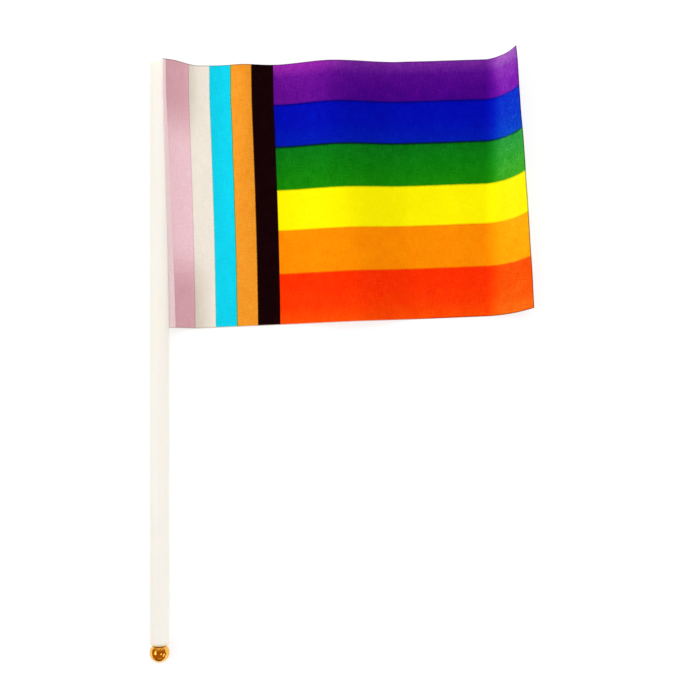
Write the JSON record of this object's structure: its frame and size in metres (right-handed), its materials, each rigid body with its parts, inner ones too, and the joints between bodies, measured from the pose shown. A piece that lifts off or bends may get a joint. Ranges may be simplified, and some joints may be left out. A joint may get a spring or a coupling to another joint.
{
  "type": "hand-waving pride flag on a pole",
  "caption": "Small hand-waving flag: a printed cloth bonded along a white plastic tube pole, with a gold ball plugged into the pole's lower end.",
  "frame": {"origin": "on the surface that the flag lies on, under the pole's axis at half the pole's length", "axes": "+X from the pole to the cloth's free edge, +Y up the pole from the ball to the cloth's end, +Z away from the surface, out of the printed face"},
  "size_m": [0.1996, 0.3185, 0.0162],
  "materials": {
    "white_plastic": "ivory white extruded plastic, semi-gloss",
    "gilt": "gold plating, polished",
    "printed_cloth": "plain-weave polyester printed in six rainbow stripes, with upright bands at the hoist"
  },
  "bodies": {
    "root": {"pole": "white_plastic", "ball_finial": "gilt", "flag_cloth": "printed_cloth"}
  },
  "joints": []
}
